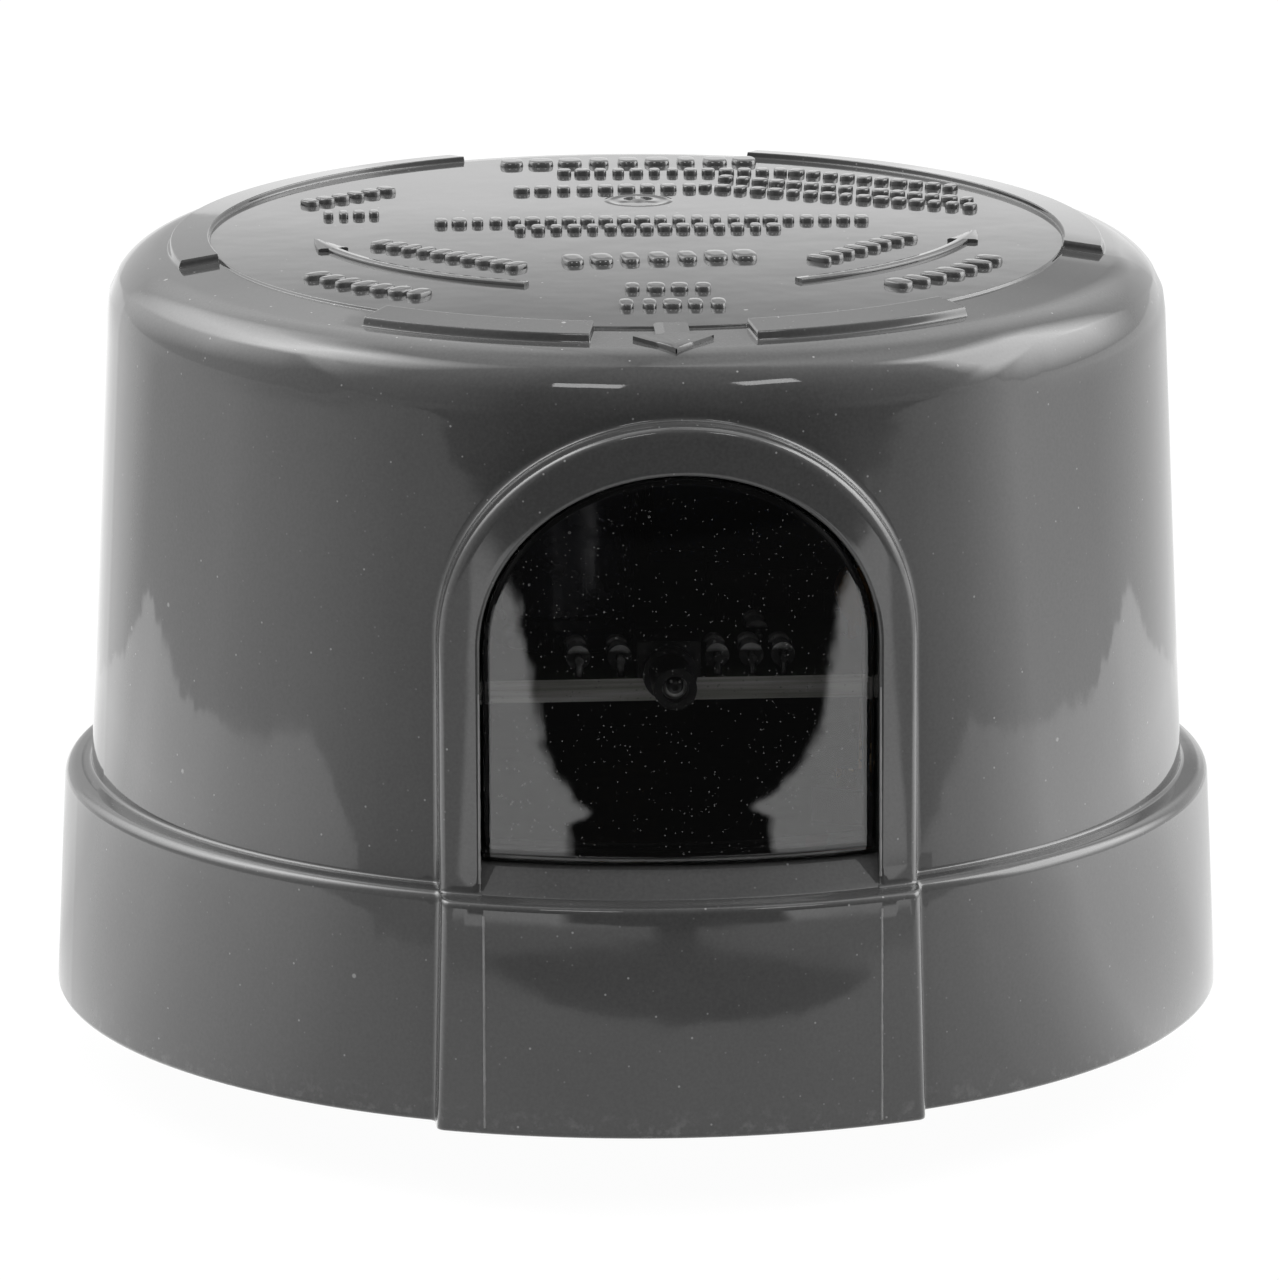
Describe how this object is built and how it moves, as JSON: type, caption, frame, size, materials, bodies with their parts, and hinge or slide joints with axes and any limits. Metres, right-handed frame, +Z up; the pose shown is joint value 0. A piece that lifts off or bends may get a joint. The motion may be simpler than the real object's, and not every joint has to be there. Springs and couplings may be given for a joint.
{
  "type": "photocell switch",
  "caption": "Round twist-lock photocell switch with a grey domed cover, an arched smoked window over the light sensor, and a plug base with locking blades and a gasket.",
  "frame": {"origin": "on the axis, on the face where the gasket seats on the socket", "axes": "+Z up along the plug's axis, away from the socket; -Y is the way the window looks; blades along -Z"},
  "size_m": [0.084, 0.0862, 0.0605],
  "materials": {
    "cover_plastic": "moulded grey polypropylene with a soft gloss and fine dust",
    "smoked_pane": "clear smoked pane, polished",
    "base_plastic": "black moulded phenolic",
    "foam_rubber": "closed-cell foam rubber",
    "blade_brass": "stamped brass, lightly tarnished",
    "board": "fibre board with solder resist",
    "screw_steel": "zinc plated",
    "sensor_epoxy": "dark epoxy with a clear lens",
    "holder_plastic": "black nylon",
    "relay_case": "moulded case",
    "film_case": "moulded case",
    "can_sleeve": "aluminium can in a printed sleeve",
    "varistor_coat": "dipped epoxy coat",
    "resistor_coat": "cement coat",
    "small_resistor_coat": "lacquer coat",
    "diode_epoxy": "black epoxy with tinned leads",
    "ceramic_coat": "dipped coat",
    "wire_black": "insulated wire",
    "wire_red": "insulated wire",
    "wire_white": "insulated wire"
  },
  "bodies": {
    "root": {"cover": "cover_plastic", "window_lens": "smoked_pane", "base_plate": "base_plastic", "gasket": "foam_rubber", "line_blade": "blade_brass", "load_blade": "blade_brass", "neutral_blade": "blade_brass", "circuit_board": "board", "board_screws": "screw_steel", "light_sensor": "sensor_epoxy", "sensor_holder": "holder_plastic", "relay": "relay_case", "film_capacitor": "film_case", "electrolytic_capacitor": "can_sleeve", "varistor": "varistor_coat", "dropper_resistor": "resistor_coat", "bias_resistors": "small_resistor_coat", "rectifier_diodes": "diode_epoxy", "switching_transistor": "diode_epoxy", "comparator_chip": "diode_epoxy", "ceramic_capacitors": "ceramic_coat", "line_wire": "wire_black", "load_wire": "wire_red", "neutral_wire": "wire_white"}
  },
  "joints": []
}
